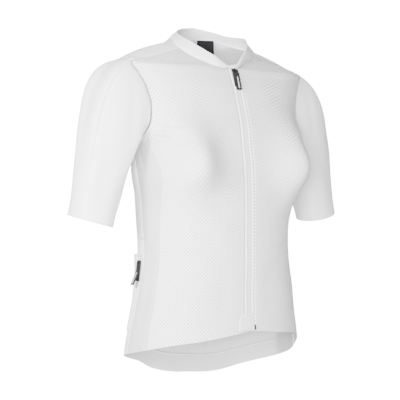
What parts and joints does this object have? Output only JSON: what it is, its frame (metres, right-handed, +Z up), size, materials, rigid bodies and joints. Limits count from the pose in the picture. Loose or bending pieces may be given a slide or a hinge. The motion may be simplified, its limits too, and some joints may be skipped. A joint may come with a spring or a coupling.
{
  "type": "cycling jersey",
  "caption": "Women's short-sleeved cycling jersey with a full-length front zip, a low collar, mesh fronts and sides, and a dropped back hem, filled out as worn.",
  "frame": {"origin": "middle of the neck opening, at the height where the collar is sewn to the sides of the neck", "axes": "+Z up as worn, -Y out of the front, +X towards the wearer's left"},
  "size_m": [0.5664, 0.2301, 0.6266],
  "materials": {
    "dotted_mesh": "white micro-mesh knit with staggered holes",
    "side_mesh": "pale grey fine mesh knit",
    "smooth_knit": "smooth matt white knit",
    "zip_tape": "light grey woven tape with a nylon coil",
    "black_label": "black woven label, bare",
    "black_metal": "black lacquer",
    "black_rubber": "black matt moulded"
  },
  "bodies": {
    "jersey": {"front_right": "dotted_mesh", "front_left": "dotted_mesh", "side_right": "side_mesh", "side_left": "side_mesh", "back": "smooth_knit", "sleeve_right": "smooth_knit", "sleeve_left": "smooth_knit", "collar": "smooth_knit", "zip_tape": "zip_tape", "zip_edge_right": "smooth_knit", "zip_edge_left": "smooth_knit", "zip_guard": "smooth_knit", "zip_garage": "smooth_knit", "hem_band": "smooth_knit", "rear_pockets": "smooth_knit", "pocket_zip": "zip_tape", "neck_label": "black_label", "zip_slider": "black_metal", "pocket_slider": "black_metal"},
    "front_pull": {"zip_pull": "black_rubber"},
    "side_pull": {"pocket_pull": "black_rubber"}
  },
  "joints": [
    {"name": "front_pull_hinge", "type": "hinge", "parent": "jersey", "child": "front_pull", "pos_m": [0, -0.06205, -0.04838], "axis": [-1, 0, 0], "range_deg": [0, 150]},
    {"name": "side_pull_hinge", "type": "hinge", "parent": "jersey", "child": "side_pull", "pos_m": [-0.14851, 0.00716, -0.37002], "axis": [0.1364, 0.9901, -0.0339], "range_deg": [0, 150]}
  ]
}
